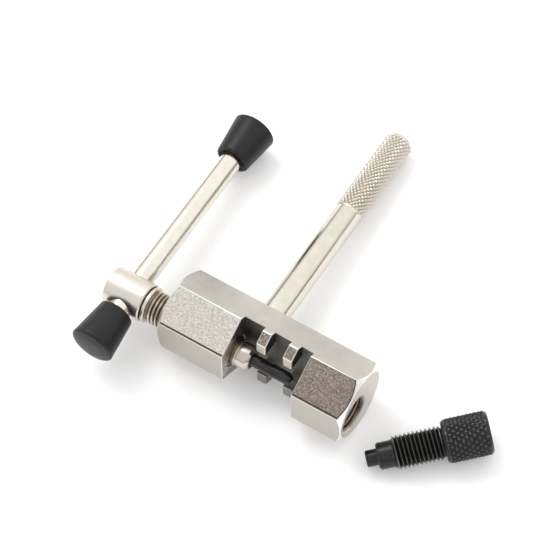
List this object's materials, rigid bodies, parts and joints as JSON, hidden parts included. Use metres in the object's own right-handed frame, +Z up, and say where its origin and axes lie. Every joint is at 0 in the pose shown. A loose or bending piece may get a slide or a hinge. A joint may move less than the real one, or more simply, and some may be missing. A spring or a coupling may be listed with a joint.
{
  "type": "bicycle chain tool",
  "caption": "Bicycle chain tool: hexagonal bar with a chain gap, a pin driven by a screw with a sliding tommy bar, a knurled handle rod and a loose anvil screw.",
  "frame": {"origin": "centre of the bounding box at its lowest level, where the tool and the loose anvil screw rest on a bench", "axes": "+Z up from the bench; +X along the drive screw, from its head towards the anvil hole; +Y horizontal, from the chain gap towards the handle's knurled end. The tool leans 5.46 degrees about X, because it rests on its lowest hexagon edge and the handle's end"},
  "size_m": [0.1058, 0.096, 0.0218],
  "materials": {
    "nickel_body": "satin nickel plate",
    "nickel_rod": "bright nickel plate",
    "black_steel": "black oxide",
    "black_plastic": "satin moulded"
  },
  "bodies": {
    "body": {"tool_body": "nickel_body", "handle_rod": "nickel_rod"},
    "pin_carriage": {"push_pin": "black_steel"},
    "screw": {"drive_screw": "nickel_rod", "pin_retainer": "nickel_rod"},
    "tommy": {"tommy_bar": "nickel_rod", "tommy_cap_near": "black_plastic", "tommy_cap_far": "black_plastic"},
    "anvil": {"anvil_screw": "black_steel"}
  },
  "joints": [
    {"name": "pin_feed", "type": "slide", "parent": "body", "child": "pin_carriage", "axis": [1, 0, 0], "range_m": [-0.0165, 0.0035]},
    {"name": "screw_turn", "type": "hinge", "parent": "pin_carriage", "child": "screw", "pos_m": [-0.03594, -0.02945, 0.01123], "axis": [1, 0, 0], "range_deg": [-5617.8, 1195.6]},
    {"name": "tommy_slide", "type": "slide", "parent": "screw", "child": "tommy", "axis": [0, 0.9972, -0.0743], "range_m": [-0.0422, 0.0009]},
    {"name": "anvil_swing", "type": "hinge", "parent": "body", "child": "anvil", "pos_m": [0.02362, -0.02714, 0.00361], "axis": [-0.8356, -0.257, -0.4855], "range_deg": [0, 81.36]}
  ],
  "couplings": [
    {"joint": "screw_turn", "follows": "pin_feed", "rad_per_m": 5937.1}
  ]
}
